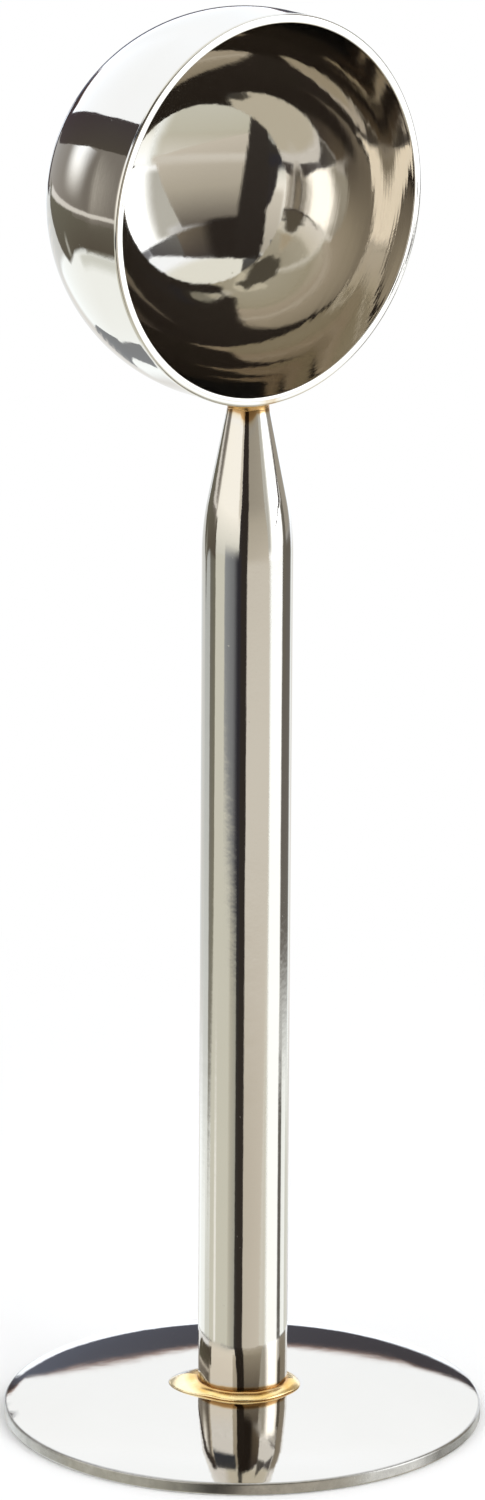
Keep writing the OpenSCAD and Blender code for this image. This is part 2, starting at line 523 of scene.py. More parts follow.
# Strength and depth in metres of the bumps, and the depth of the buffing lines
CLOUD_BUMP = (0.35, 0.00002)
RING_BUMP = (0.5, 0.00005)
HAIR_DEPTH = 0.00003
# Strength of the buffing lines, which are fainter on the bowl
LINE_STRENGTH, BOWL_LINES = 0.05, 0.04
# How the coordinates are squeezed for strokes on the disc, scratches on the tube and rings in the bowl
STROKES, SCRATCHES, RINGS = (0.25, 7.0, 1.0), (9.0, 9.0, 0.12), (5.0, 5.0, 5.0)
# Share of the bowl's inside that fine dust makes dull
DUST = 0.006
# Direction of the wheel's strokes on the disc, in radians
STROKE_ANGLE = 0.9
# Width of the heat's colours on disc and bowl, and how far along them the filler's edge lies
HEAT_W, BOWL_HEAT_W, FILLER_EDGE = 1.2, 2.0, 0.45
# Height of the film on the cone, what the run adds to it, and the cosine where the run starts and its fade
FILM_H, RUN_H, RUN_COSINE, RUN_SOFT = 2.3, 1.7, 0.93, 0.07
# The film on the foot covers this share of the bead's height and then fades
FOOT_FILM, FOOT_SOFT = 0.8, 1.1
# Width of the cut edge on disc and bowl rim, and the share of its roughness and painted shade on the rim
EDGE_W, RIM_W, RIM_DULL = 0.3, 0.12, 0.12
# The bowl's rings fade to a tenth of their strength: how far behind the rim that ends, and over what depth
RING_END, RING_FADE = 13, 12


def stretched(place, factors):
    """Coordinates that are squeezed along some axes, so that noise on them turns into lines."""
    return place.make("ShaderNodeVectorMath", {"operation": "MULTIPLY"}, _0=place, _1=factors)


def bump(height, strength, distance, normal=None):
    """A bumpy skin. It can lie on top of another one, which is given as normal."""
    inputs = {"Strength": strength, "Distance": distance, "Height": height}
    if normal is not None:
        inputs["Normal"] = normal
    return height.make("ShaderNodeBump", None, **inputs)


def blend(colour, other, share):
    """A fixed colour, moved by a share of the way to another one."""
    return tuple(a + (b - a) * share for a, b in zip(colour, other)) + (1,)


def tint_by_heat(colour, reach):
    """reach is 0 in the filler and 1 where the torch left no trace. First comes a film of filler, golden
    brown and then gold, and after it the straw and grey-blue of heated steel."""
    film = reach.ramp(
        (0.0, (0.24, 0.12, 0.035, 1)),
        (0.30, (0.30, 0.165, 0.055, 1)),
        (0.42, (0.38, 0.22, 0.085, 1)),
        (0.52, (0.54, 0.43, 0.27, 1)),
        (0.74, (0.56, 0.54, 0.53, 1)),
    )
    return mix_colour(reach.ramp((0.0, 1.0), (0.42, 0.95), (0.55, 0.45), (1.0, 0.0)), colour, film)


def finish_steel(name, lines, seam, cut_edge_and_shade, line_strength=LINE_STRENGTH, ripple=None, dust=None):
    """lines stretches the coordinates along the polishing, seam tells how far the heat of the torch is,
    cut_edge_and_shade is 1 on the narrow edge that was only cut and rubbed, which is rougher and darkened by
    painted shade, and dust is 1 where the surface is dull."""
    material, shader, place = new_material(name)
    place = millimetres(place)
    smudge = grain(place, *SMUDGE_NOISE)
    hairs = grain(lines(place), *HAIR_NOISE)
    cloud = grain(place, *CLOUD_NOISE)
    shade = mix_colour(smudge, blend(STEEL, PURE_WHITE, 0.03), blend(STEEL, PURE_BLACK, 0.03))
    shade = tint_by_heat(shade, (seam(place) + (cloud - 0.5) * 0.35).clamp())
    edge = cut_edge_and_shade(place)
    shade_mottle = grain(place, *SHADE_MOTTLE_NOISE)
    # Painted shade: the cut edge is darkened towards black in mottled patches. This is full on the disc's
    # side face and only a trace on the bowl's rim.
    shade = mix_colour(edge * (shade_mottle * 0.7 + 0.3), shade, blend(STEEL, PURE_BLACK, 0.6))
    specks = grain(place, *SPECK_NOISE).ramp((0.0, 0.0), (0.735, 0.0), (0.765, 1.0))
    feed(shade, shader, "Base Color")
    feed(smudge * SMUDGED + hairs * BUFFED + specks * SPECKLED + edge * CUT + CLEAN, shader, "Roughness")
    shader.inputs["Metallic"].default_value = 1.0
    if dust is not None:
        feed(1.0 - dust(place) * DUST, shader, "Metallic")
    wave = bump(cloud, *CLOUD_BUMP)
    if ripple is not None:
        wave = bump(ripple(place), *RING_BUMP, wave)
    feed(bump(hairs, line_strength, HAIR_DEPTH, wave), shader, "Normal")
    return material


def around(place):
    """Distance from the Z axis, in the units of the coordinates."""
    x, y = split(place)[:2]
    return (x * x + y * y).math("SQRT", 0.0)


def disc_lines(place):
    """Straight fine strokes from the flat wheel that polished the disc's face."""
    about_z = {"rotation_type": "Z_AXIS"}
    turned = place.make("ShaderNodeVectorRotate", about_z, Vector=place, Angle=STROKE_ANGLE)
    return stretched(turned, STROKES)


def tube_lines(place):
    """Long scratches along the tube."""
    return stretched(place, SCRATCHES)


def bowl_lines(place):
    """Rings round the bowl's own axis, from polishing it while it spun."""
    x, y, z = split(place)
    z = z - BOWL_Z
    radius = (x * x + z * z).math("SQRT", 0.0)
    rings = place.make("ShaderNodeCombineXYZ", None, X=radius, Y=y, Z=0.0)
    return stretched(rings, RINGS)


def inside_bowl(place):
    """1 on the bowl's inner skin and 0 on its outer one."""
    x, y, z = split(place)
    z = z - BOWL_Z
    deep = (y - (RIM_Y + BOWL_STRAIGHT)).math("MAXIMUM", 0.0)
    distance = (x * x + z * z + deep * deep).math("SQRT", 0.0)
    return ((BOWL_R - FLARE_DROP - BOWL_WALL / 2 - distance) / 0.1).clamp()


def bowl_ripple(place):
    """Spinning left faint rings in the wall, more of them near the rim than at the round bottom."""
    y = split(place)[1]
    near_rim = ((RIM_Y + RING_END - y) / RING_FADE).clamp() * 0.9 + 0.1
    return grain(bowl_lines(place), *RING_NOISE) * near_rim * inside_bowl(place)


def disc_seam(place):
    return (around(place) - (TUBE_R + BEAD_W)) / HEAT_W + FILLER_EDGE


def tube_seam(place):
    """The filler crept down the cone in a thin film, furthest in one run at the front, but only a hair's
    breadth up the tube's foot."""
    x, y, z = split(place)
    low = (z - (SEAT_Z + BEAD_H * FOOT_FILM)) / FOOT_SOFT
    run = toward(0, 0)
    front = (x * run.x + y * run.y) / around(place)
    high = (NECK_TOP - z) / (((front - RUN_COSINE) / RUN_SOFT).clamp() * RUN_H + FILM_H)
    return low.math("MINIMUM", high)


def bowl_seam(place):
    """The heat ran out sideways along the bowl, but hardly up its curved wall."""
    rise = (split(place)[2] - NECK_TOP) * 6
    return (around(place).math("MAXIMUM", rise) - NECK_R - NECK_FILLET_R) / BOWL_HEAT_W + FILLER_EDGE


# The disc's side face, which is rougher and darkened by painted shade.
def disc_edge_and_shade(place):
    return ((around(place) - (DISC_R - EDGE_W)) / (EDGE_W / 2)).clamp()


def no_edge(place):
    return around(place) * 0.0


def bowl_edge(place):
    """The cut rim was polished as well, so it is only a little duller than the rest."""
    y = split(place)[1]
    return ((RIM_Y + RIM_W - y) / (RIM_W / 2)).clamp() * RIM_DULL


steel_disc = finish_steel("steel_disc", disc_lines, disc_seam, disc_edge_and_shade)
steel_tube = finish_steel("steel_tube", tube_lines, tube_seam, no_edge)
steel_bowl = finish_steel(
    "steel_bowl", bowl_lines, bowl_seam, bowl_edge, BOWL_LINES, bowl_ripple, inside_bowl
)
print("Steel finishes:", steel_disc.name, steel_tube.name, steel_bowl.name)

# %% [markdown]
# The brazing filler is a brass that ran into the seam and froze there. It is bright and golden, a little
# orange where it is thin, and its skin is gently rippled instead of polished. A scorched line follows the
# tube. Behind the two lobes the filler carries a painted sheen: it is coloured pale steel grey, so that it
# reflects white instead of gold.

# %% Brazing filler
ORANGE_BRASS = (0.70, 0.42, 0.12, 1)
BRASS = (0.80, 0.54, 0.20, 1)
LIGHT_BRASS = (0.88, 0.66, 0.32, 1)
PALE_BRASS = (0.95, 0.78, 0.48, 1)
SCORCHED_BRASS = (0.45, 0.22, 0.07, 1)
# Pale steel grey for the painted sheen on the back faces of the lobes
SHEEN_GREY = (0.70, 0.67, 0.62, 1)
PATCH_NOISE = (0.4, 2.0, 0.5)
RIPPLE_NOISE = (0.9, 1.0, 0.5)
RIPPLE_BUMP = (0.3, 0.0001)
# Where the filler is thick, and how wide the scorched line is, out from the tube
THICK_START, THICK_W, SCORCH_W = 0.8, 0.7, 0.3
# Share of the thick filler's and the scorched line's own colours
THICK_SHARE, SCORCH_SHARE = 0.85, 0.7
# Roughness of the filler, and what its patches add to it
FILLER_ROUGH, PATCH_ROUGH = 0.20, 0.12
# The stretches behind the lobes that carry the painted sheen, in radians from +X
LEFT_SHEEN = (1.6, math.radians(POOL_ANGLE - 7))
RIGHT_SHEEN = (math.radians(POOL_ANGLE - 182), -0.3)


def finish_filler():
    material, shader, place = new_material("golden_filler")
    place = millimetres(place)
    patch = grain(place, *PATCH_NOISE)
    shade = patch.ramp((0.36, ORANGE_BRASS), (0.50, BRASS), (0.64, LIGHT_BRASS))
    thick = ((around(place) - TUBE_R - THICK_START) / THICK_W).clamp()
    shade = mix_colour(thick * THICK_SHARE, shade, PALE_BRASS)
    scorch = (1.0 - (around(place) - TUBE_R - 0.02) / SCORCH_W).clamp()
    shade = mix_colour(scorch * SCORCH_SHARE, shade, SCORCHED_BRASS)
    x, y = split(place)[:2]
    angle = y.math("ARCTAN2", x)
    left_back = ((LEFT_SHEEN[1] - angle) / 0.05).clamp() * ((angle - LEFT_SHEEN[0]) / 0.2).clamp()
    right_back = ((angle - RIGHT_SHEEN[0]) / 0.05).clamp() * ((RIGHT_SHEEN[1] - angle) / 0.2).clamp()
    # Painted sheen: on the lobes' back faces the thick filler is coloured pale steel grey, so that it
    # reflects white instead of gold.
    painted_sheen = (left_back + right_back) * thick
    shade = mix_colour(painted_sheen, shade, SHEEN_GREY)
    feed(shade, shader, "Base Color")
    feed(patch * PATCH_ROUGH + FILLER_ROUGH, shader, "Roughness")
    shader.inputs["Metallic"].default_value = 1.0
    feed(bump(grain(place, *RIPPLE_NOISE), *RIPPLE_BUMP), shader, "Normal")
    return material


golden_filler = finish_filler()
print("Filler finish:", golden_filler.name)

# %% [markdown]
# With section, lathe and steel at hand, the three steel pieces take one line each. The bowl is turned upright
# like the others and then laid on its side, so that its mouth faces -Y as in the CAD model.

# %% Disc, tube and bowl
TURN_STEPS = 288


def dress(piece, cad_node):
    """Puts the piece on the body that carries it and hides the CAD node that it stands for."""
    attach(piece, BODY)
    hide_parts(cad_node)


lay_bowl = Matrix.Translation((0, RIM_Y * MM, BOWL_Z * MM)) @ Matrix.Rotation(math.radians(-90), 4, "X")
disc = turn_piece("disc", sections["disc"], TURN_STEPS, steel_disc)
tube = turn_piece("tube", sections["tube"], TURN_STEPS, steel_tube)
bowl = turn_piece("spun_bowl", sections["bowl"], TURN_STEPS, steel_bowl, lay_bowl)
dress(disc, "tamper_disc")
dress(tube, "handle_tube")
dress(bowl, "bowl")

# %% [markdown]
# No rule gives the foot's brazing its outline: the filler ran where the heat was. It is a narrow bead at the
# front, a wide flat pool on the camera's left and a short tongue on its right. The mesh goes round the tube
# in rays. Each ray has its own reach and height, and its section swells like a drop on a plate.

# %% Brazing at the foot
FOOT_RAYS, FOOT_RINGS = 300, 26
# How far the filler's inner edge is hidden inside the tube
HIDDEN = 0.05
# The bead's reach and height, as shares of the CAD model's, and how much they wander
REACH_SHARE, REACH_WANDER = 0.84, 0.12
HEIGHT_SHARE, HEIGHT_WANDER = 0.66, 0.06
# Half the angle over which each lobe swells, and how far pool and tongue run out past the bead
POOL_SPREAD, TONGUE_SPREAD = 58, 38
TONGUE_ANGLE = POOL_ANGLE + 178
POOL_RUN, TONGUE_REACH = (POOL_REACH - BEAD_W) * 1.1, 0.42
# Powers that give the filler's section its drop shape, first flat and then steep
SWELL_FLAT, SWELL_STEEP = 2.4, 0.6
# How fast a crest rises and falls along the ray, how far it leans inwards, and where it ends
CREST_PACE, CREST_LEAN, CREST_END = 1.1, 0.8, 0.9
# Height of the film on the tube, and the power with which it falls
CLIMB_H, CLIMB_FALL = 0.2, 8
# Each lobe's crest: its direction, half its angle and its height as a share of the bead's
CRESTS = ((POOL_ANGLE - 6, 30, 0.55), (POOL_ANGLE + 176, 24, 0.4))


def away_from(angle, centre):
    """The angle between two directions in degrees, whichever way round is shorter."""
    return abs((angle - centre + 180) % 360 - 180)


def bump_at(angle, centre, width):
    """1 at the centre, falling softly to 0 at width degrees from it."""
    away = away_from(angle, centre) / width
    if away >= 1:
        return 0.0
    return (0.5 + 0.5 * math.cos(math.pi * away)) ** 1.2


def foot_noise(angle, row, pace):
    way = Vector((math.cos(math.radians(angle)), math.sin(math.radians(angle)), row))
    return noise.noise(way * pace)


def foot_reach(angle):
    reach = BEAD_W * REACH_SHARE + foot_noise(angle, row=0.3, pace=2.2) * REACH_WANDER
    reach += bump_at(angle, POOL_ANGLE, POOL_SPREAD) * POOL_RUN
    reach += bump_at(angle, TONGUE_ANGLE, TONGUE_SPREAD) * TONGUE_REACH
    return reach


def foot_ridge(angle):
    """The lobes have a crest that runs out from the tube, like a frozen drip seen from above."""
    return sum(height * max(0.0, 1 - away_from(angle, centre) / width) for centre, width, height in CRESTS)


def foot_ray(angle):
    """The closed section of the filler at an angle, as radius and height. It swells like a drop, a crest
    runs along most of it, and a thin film climbs the tube."""
    inner = TUBE_R - HIDDEN
    reach = foot_reach(angle)
    height = BEAD_H * HEIGHT_SHARE + foot_noise(angle, row=1.7, pace=2.6) * HEIGHT_WANDER
    ridge = foot_ridge(angle)
    points = []
    for j in range(FOOT_RINGS + 1):
        share = j / FOOT_RINGS
        swell = (1 - share ** SWELL_FLAT) ** SWELL_STEEP
        crest = 0.0
        if share < CREST_END:
            crest = ridge * math.sin(math.pi * min(1.0, share * CREST_PACE) ** CREST_LEAN)
        climb = CLIMB_H * (1 - share) ** CLIMB_FALL
        radius = inner + (reach + HIDDEN) * share
        points.append((radius, SEAT_Z + height * swell + crest * height + climb))
    return points + [(inner, SEAT_Z)]


def loft(name, rays):
    """A ring of filler round the Z axis. Each ray is its angle in radians and its closed section."""
    made = bmesh.new()
    rows = []
    for angle, section in rays:
        cos, sin = math.cos(angle), math.sin(angle)
        rows.append([made.verts.new((r * cos * MM, r * sin * MM, z * MM)) for r, z in section])
    for this, following in zip(rows, rows[1:] + rows[:1]):
        for j in range(len(this)):
            k = (j + 1) % len(this)
            made.faces.new((this[j], this[k], following[k], following[j]))
    mesh = bpy.data.meshes.new(name)
    made.to_mesh(mesh)
    made.free()
    if signed_volume(mesh) < 0:
        mesh.flip_normals()
    for face in mesh.polygons:
        face.use_smooth = True
    mesh.materials.append(golden_filler)
    return put(name, mesh)


foot_angles = [360 * i / FOOT_RAYS for i in range(FOOT_RAYS)]
foot_brazing = loft("foot_brazing", [(math.radians(angle), foot_ray(angle)) for angle in foot_angles])
dress(foot_brazing, "foot_braze")
print("Foot brazing:", len(foot_brazing.data.polygons), "faces")

# %% [markdown]
# At the neck the filler fills the corner between the cone and the round of the bowl. Each ray starts on the
# cone and ends on the bowl, wherever the bowl's wall is at that angle, with a hollow curve between the two.

# %% Brazing at the neck
NECK_RAYS, NECK_RINGS = 144, 14
# How far the fillet reaches out on the bowl and what share of the CAD fillet's height it has, each with the
# amount by which it wanders
FILLET_REACH, FILLET_REACH_WANDER = 0.72, 0.12
FILLET_SHARE, FILLET_SHARE_WANDER = 0.84, 0.2
# How strongly the corner pulls the hollow curve towards itself
CORNER_PULL = 0.8
# The ring is closed this far inside the neck
NECK_HIDDEN = 0.1


def bowl_wall_z(x, y):
    """Height of the bowl's outer skin above the point x, y, near its lowest line."""
    depth = max(0.0, y - (RIM_Y + BOWL_STRAIGHT))
    return BOWL_Z - math.sqrt((BOWL_R - FLARE_DROP) ** 2 - x * x - depth * depth)


def neck_radius(z):
    return NECK_R + (NECK_TOP - z) * math.tan(CONE_ANGLE)


def neck_ray(angle):
    """The closed section of the filler at an angle, as radius and height."""
    cos, sin = math.cos(angle), math.sin(angle)
    wander = noise.noise(Vector((cos, sin, 0.9)) * 1.9)
    drop = NECK_FILLET_H * (FILLET_SHARE + FILLET_SHARE_WANDER * wander)
    outer = NECK_R + FILLET_REACH + FILLET_REACH_WANDER * wander
    low = (neck_radius(NECK_TOP - drop), NECK_TOP - drop)
    high = (outer, bowl_wall_z(outer * cos, outer * sin))
    points = []
    for j in range(NECK_RINGS + 1):
        share = j / NECK_RINGS
        a, b, c = (1 - share) ** 2, 2 * share * (1 - share) * CORNER_PULL, share ** 2
        total = a + b + c
        radius = (a * low[0] + b * NECK_R + c * high[0]) / total
        points.append((radius, (a * low[1] + b * NECK_TOP + c * high[1]) / total))
    return points + [(NECK_R - NECK_HIDDEN, NECK_TOP + NECK_HIDDEN)]


neck_angles = [math.tau * i / NECK_RAYS for i in range(NECK_RAYS)]
neck_brazing = loft("neck_brazing", [(angle, neck_ray(angle)) for angle in neck_angles])
dress(neck_brazing, "neck_braze")
print("Neck brazing:", len(neck_brazing.data.polygons), "faces")

# %% [markdown]
# Now the studio. The floor and the background are plain white. Two soft lamps light the floor, so that it
# keeps the spoon's shadow, and beyond the shadow it turns into pure white with no line where it ends.

# %% Floor and background
FLOOR_R = 3.0
FLOOR_GREY = (0.88, 0.88, 0.88, 1)
# The floor shows shadows up to this distance from the spoon and is plain white beyond the fade
SHADOW_R, SHADOW_FADE = 0.05, 0.12
# The world's strength as a lamp. The camera and the steel see it at full strength.
AMBIENT = 0.65


def add_stage(name, mesh, material):
    thing = put(name, mesh)
    mesh.materials.append(material)
    thing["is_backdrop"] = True
    return thing


def mix_shaders(tree, factor, first, second):
    """Sends a blend of two shaders to the surface."""
    mixed = node(tree, "ShaderNodeMixShader", None, Fac=factor, _1=first, _2=second)
    tree.links.new(mixed.outputs[0], tree.nodes["Material Output"].inputs["Surface"])


def floor_material():
    material, shader, place = new_material("white_floor")
    tree = material.node_tree
    shader.inputs["Base Color"].default_value = FLOOR_GREY
    shader.inputs["Roughness"].default_value = 0.8
    shader.inputs["Specular IOR Level"].default_value = 0.1
    far = ((around(place) - SHADOW_R) / SHADOW_FADE).clamp()
    glow = node(tree, "ShaderNodeEmission", None, Strength=1.0)
    mix_shaders(tree, far.socket, shader.outputs[0], glow.outputs[0])
    return material


def make_floor():
    mesh = bpy.data.meshes.new("floor")
    made = bmesh.new()
    bmesh.ops.create_circle(made, cap_ends=True, radius=FLOOR_R, segments=96)
    made.to_mesh(mesh)
    made.free()
    return add_stage("floor", mesh, floor_material())


def make_world():
    world = bpy.data.worlds.new("white_studio")
    world.use_nodes = True
    bpy.context.scene.world = world
    tree = world.node_tree
    path = tree.nodes.new("ShaderNodeLightPath")
    seen = Flow(path.outputs["Is Camera Ray"]) + Flow(path.outputs["Is Glossy Ray"])
    seen = (seen + Flow(path.outputs["Is Transmission Ray"])).clamp()
    background = tree.nodes["Background"]
    background.inputs["Color"].default_value = (1, 1, 1, 1)
    tree.links.new((seen * (1 - AMBIENT) + AMBIENT).socket, background.inputs["Strength"])


floor = make_floor()
floor.visible_glossy = False
make_world()
print("Floor and world ready")

# %% [markdown]
# Everything that the steel shows stands on cards round the spoon: a light tent, dark flags, and a pale wall
# to the right. They are seen only in reflections. A card is a piece of a globe round the bowl. Its four
# corners are given as directions from there: degrees to the right of the camera, and degrees above the
# horizon. Its colours are those that the steel should show, so they are divided by the steel's own colour.
#
# Cards for the bowl's outer skin are near ones, placed along the very rays that the camera sees in it. At
# the bowl's outline the metal loses its tint, so what shows there has to be warmer than it should look.

# %% Reflection cards
CARD_CENTRE = Vector((0, 0, 0.130))
CARD_CELL = 1.25
# Distance of the cards in metres, and how much nearer each layer stands
FAR_RADIUS, FAR_STEP = 3.0, 0.03
NEAR_RADIUS, NEAR_STEP = 0.3, 0.003


def linear(hex_colour):
    """A colour written as in a web page, as the linear numbers that Blender works with."""
    values = [int(hex_colour[i:i + 2], 16) / 255 for i in (0, 2, 4)]
    return [v / 12.92 if v <= 0.04045 else ((v + 0.055) / 1.055) ** 2.4 for v in values]


def card_material():
    """Plain light in the colour Shade, and clear where the colour's alpha is 0."""
    material = bpy.data.materials.new("card")
    material.use_nodes = True
    tree = material.node_tree
    tree.nodes.remove(tree.nodes["Principled BSDF"])
    shade = node(tree, "ShaderNodeVertexColor", {"layer_name": "Shade"})
    glow = node(tree, "ShaderNodeEmission", None, Color=shade.outputs[0], Strength=1.0)
    clear = tree.nodes.new("ShaderNodeBsdfTransparent")
    mix_shaders(tree, shade.outputs["Alpha"], clear.outputs[0], glow.outputs[0])
    return material


card_paint = card_material()
card_names = []


def seen(colour, glow=1.0):
    """The light that makes the steel look this colour."""
    return [value * glow / tint for value, tint in zip(linear(colour), STEEL)]


def fade(distance, width):
    """0 at an edge and 1 from width on. An edge without a width is sharp."""
    if width == 0:
        return 1.0
    share = min(1.0, max(0.0, distance / width))
    return share * share * (3 - 2 * share)


def card_point(azimuth, elevation, radius, near):
    """A near card stands where the bowl's outer skin shows it to the camera, and a far one round the bowl."""
    way = toward(azimuth, elevation)
    if not near:
        return CARD_CENTRE + way * radius
    skin = (way + toward(0, CAMERA_ELEVATION)).normalized() * BOWL_R * MM
    return Vector((0, (RIM_Y + BOWL_STRAIGHT) * MM, BOWL_Z * MM)) + skin + way * radius


def card(name, ribs, colours, soft=(0, 0, 0, 0), layer=0, glow=1.0, radius=FAR_RADIUS, near=False):
    """ribs run from left to right, each as an azimuth and the elevations of its foot and head. A leaning rib
    has four numbers: azimuth and elevation of the foot, then of the head. colours are one for all, or two
    from low to high, or four round the corners from the lower left. soft gives the widths in degrees over
    which the left, right, lower and upper edges fade. A higher layer stands in front. glow makes the card
    brighter than its colours. radius is its distance from the bowl, and a near card has its own."""
    ribs = [rib if len(rib) == 4 else (rib[0], rib[1], rib[0], rib[2]) for rib in ribs]
    if near:
        radius = NEAR_RADIUS - NEAR_STEP * layer
    else:
        radius -= FAR_STEP * layer
    if len(colours) == 1:
        colours = colours * 4
    elif len(colours) == 2:
        colours = (colours[0], colours[0], colours[1], colours[1])
    low_left, low_right, high_right, high_left = [Vector(seen(colour, glow)) for colour in colours]
    columns = [(0, 0.0)]
    for i in range(len(ribs) - 1):
        span = max(1, round(abs(ribs[i + 1][0] - ribs[i][0]) / CARD_CELL))
        columns += [(i, (k + 1) / span) for k in range(span)]
    heights = [rib[3] - rib[1] for rib in ribs]
    rows = max(4, round(max(heights) / CARD_CELL))
    width = ribs[-1][0] - ribs[0][0]
    points, shades = [], []
    for j in range(rows + 1):
        v = j / rows
        for i, share in columns:
            left, right = Vector(ribs[i]), Vector(ribs[i + 1])
            rib = left.lerp(right, share)
            azimuth = rib[0] + (rib[2] - rib[0]) * v
            elevation = rib[1] + (rib[3] - rib[1]) * v
            across = min(1.0, max(0.0, (rib[0] - ribs[0][0]) / width))
            points.append(card_point(azimuth, elevation, radius, near))
            colour = low_left.lerp(low_right, across).lerp(high_left.lerp(high_right, across), v)
            height = rib[3] - rib[1]
            alpha = fade(across * width, soft[0]) * fade((1 - across) * width, soft[1])
            alpha *= fade(v * height, soft[2]) * fade((1 - v) * height, soft[3])
            shades.append([*colour, alpha])
    return add_card("card_" + name, len(columns), points, shades)


def add_card(name, columns, points, shades):
    """A card out of a grid of points, row by row, each with its colour. Only the steel sees it."""
    rows = len(points) // columns
    faces = [
        (k, k + 1, k + columns + 1, k + columns)
        for j in range(rows - 1)
        for k in range(j * columns, (j + 1) * columns - 1)
    ]
    mesh = bpy.data.meshes.new(name)
    mesh.from_pydata(points, [], faces)
    paint = mesh.color_attributes.new("Shade", "FLOAT_COLOR", "POINT")
    for slot, shade in zip(paint.data, shades):
        slot.color = shade
    thing = add_stage(name, mesh, card_paint)
    thing.visible_camera = False
    thing.visible_diffuse = False
    thing.visible_shadow = False
    thing.visible_transmission = False
    card_names.append(name)
    return thing


def upright(left, right, bottom, top):
    """The ribs of a card with upright sides."""
    return (left, bottom, top), (right, bottom, top)


WHITE = "fcfcf9"
MIST = "f5f5f3"
CLOUD = "f3f3f1"
CREAM = "f6efe0"
IVORY = "dedacb"
LINEN = "c6c3b4"
STONE = "c3b9a8"
BEIGE = "aaa18f"
ASH = "7b7a7c"
BARK = "5f584c"
UMBER = "443c38"
SOOT = "28221d"

# The tent: white all round, creamier over the camera
card("tent_top", upright(-180, 180, 18, 90), (MIST,))
card("tent_side", upright(-180, 180, -14, 18), (CLOUD, MIST))
card("tent_base", upright(-180, 180, -90, -14), ("e6e4da", "eeeee6"))
card("tent_front", upright(-70, 120, 40, 89), (IVORY,), (30, 30, 6, 0), 1)

# The beige wall on the right: an open part low down and a panel that darkens towards its top
card("wall_base", ((-16, -66, -30), (64, -66, -17)), (LINEN, "b7b19c"), (6, 12, 0, 0), 1)
card(
    "wall_low", ((-6, -36, -14), (64, -34, 62, -17)), ("b2ab96", "b6b09c", "d6d0c2", "cec6b6"),
    (0, 12, 6, 0), 2,
)
card("panel_low", ((-6, -34, 0), (59, -18.5, 51, 1)), (STONE, BEIGE), (0, 1.5, 1, 0), 3)
card("panel_band", upright(-3, 62, -20.5, -12), ("c9c1b2",), (2, 3, 2.5, 5), 4)
card("panel_high", ((-6, 0, 24), (51, 1, 42.5, 24)), (BEIGE, "5a5249"), (0, 1.5, 0, 2), 3)

# A beam over the panel, which comes nearer towards its right end
card(
    "haze", ((20, 15, 27), (34, 17, 27), (56, 21, 27)), ("6b635a", "d8d5ce", "cfccc6", "4a443e"),
    (4, 6, 3, 0), 2,
)
card("beam", ((-14, 16, 37), (3, 18, 46.5), (20, 19, 46), (32, 21, 44.7)), (SOOT,), (0, 11, 3, 1), 5)
card(
    "beam_mid", ((14, 22, 46), (36, 23.5, 44), (50, 25.5, 40.5)), ("473f33", "736858", UMBER, "383431"),
    (4, 1, 1.5, 1.5), 4,
)
card(
    "beam_far", ((48, 25, 41), (64, 26.5, 36.5), (75, 27, 33)), ("6e6b64", "5c5a5a", "4a4646", "55514c"),
    (1, 1, 1.5, 1.5), radius=0.42,
)
card(
    "beam_end", ((73, 27, 33), (84, 26.5, 34), (106, 20, 36)), (ASH, UMBER, UMBER, ASH), (2, 4, 2, 2), 1,
    radius=0.42,
)

# The window on the right is brighter than white and duller on its left side
card("window_frame", upright(84, 107, -16, 30), ("8f887b",), (6, 0, 6, 4), 0.5)
card("window", upright(40, 109, -16, 28), (WHITE,), (0, 19, 6, 3), 1, glow=2.0)
card("window_side", upright(40, 74, -16, 28), ("b3afa3",), (0, 17, 6, 3), 1.5)
card("window_low", ((61, -36, -12), (105, -36, -12)), (IVORY, WHITE), (5, 8, 8, 5), 2, glow=1.15)
card("right_base", upright(62, 104, -66, -28), ("b4b0a0", "cfccbd"), (6, 6, 0, 6), 1)
card("right_dark", upright(98.5, 148, -20, -9), ("66615a", BARK), (4, 12, 0.5, 3), 3)
card("right_mid", upright(106, 150, -12, 46), ("968e80",), (4, 10, 2, 4), 2)
card("right_dark_low", upright(104, 150, -35, -22.8), (BARK,), (4, 10, 3, 1), 3)
card("right_dark_line", upright(96.5, 114, -23, -19.3), ("5f5b54",), (4, 4, 0.5, 0.5), 3)
card("right_pale", upright(130, 166, -24, -19.5), ("c6c3b5",), (4, 4, 1, 1), 1)
card("right_end", upright(162, 178, -24.5, -21), ("85857f",), (4, 4, 1, 1), 2)

# A stem in front of the window, standing on a box, and the sill beside it
card("stem", upright(106.5, 109.5, -10, 34), ("5d5b56", "4c4842"), (1, 1, 0, 2), 4, radius=0.3)
card("stem_box", ((101, -31, -11), (114, -32, -11)), ("655f54",), (0.6, 0.6, 0.6, 0), 4, radius=0.3)
card(
    "sill",
    ((76, -17, -16.2), (84, -15.2, -13.8), (91, -12.8, -11.3), (100, -12.2, -10.8), (112, -11, -10)),
    (UMBER,), (1, 1, 0, 0), 5, radius=0.3,
)
card("right_dark_base", upright(97, 152, -66, -33), ("c6bca6",), (6, 8, 0, 4), 2)

# On the floor in front
card("stool_rim", upright(-9, 30, -72, -55.5), (LINEN,), (2, 2, 0, 0.8), 2, glow=1.35)
card(
    "stool",
    (
        (-1, -78, -57), (5, -78, -58), (10, -78, -60.5), (16, -78, -63.5), (26, -78, -63.5),
        (35, -78, -62.5), (45, -78, -60), (52, -78, -57.5), (67, -78, -59), (80, -78, -57),
        (90, -78, -56), (91.5, -78, -60),
    ),
    ("5b574d",), (0.6, 0.6, 0, 0.4), 3,
)

# Behind the spoon
card("back_top", upright(156, 204, 4, 44), ("e6e4de", "f9f9f7"), (10, 10, 6, 12), 1)
card("back_low", upright(146, 208, -36, -11), ("c6bfb3", "cdc6ba"), (8, 8, 8, 4), 1)

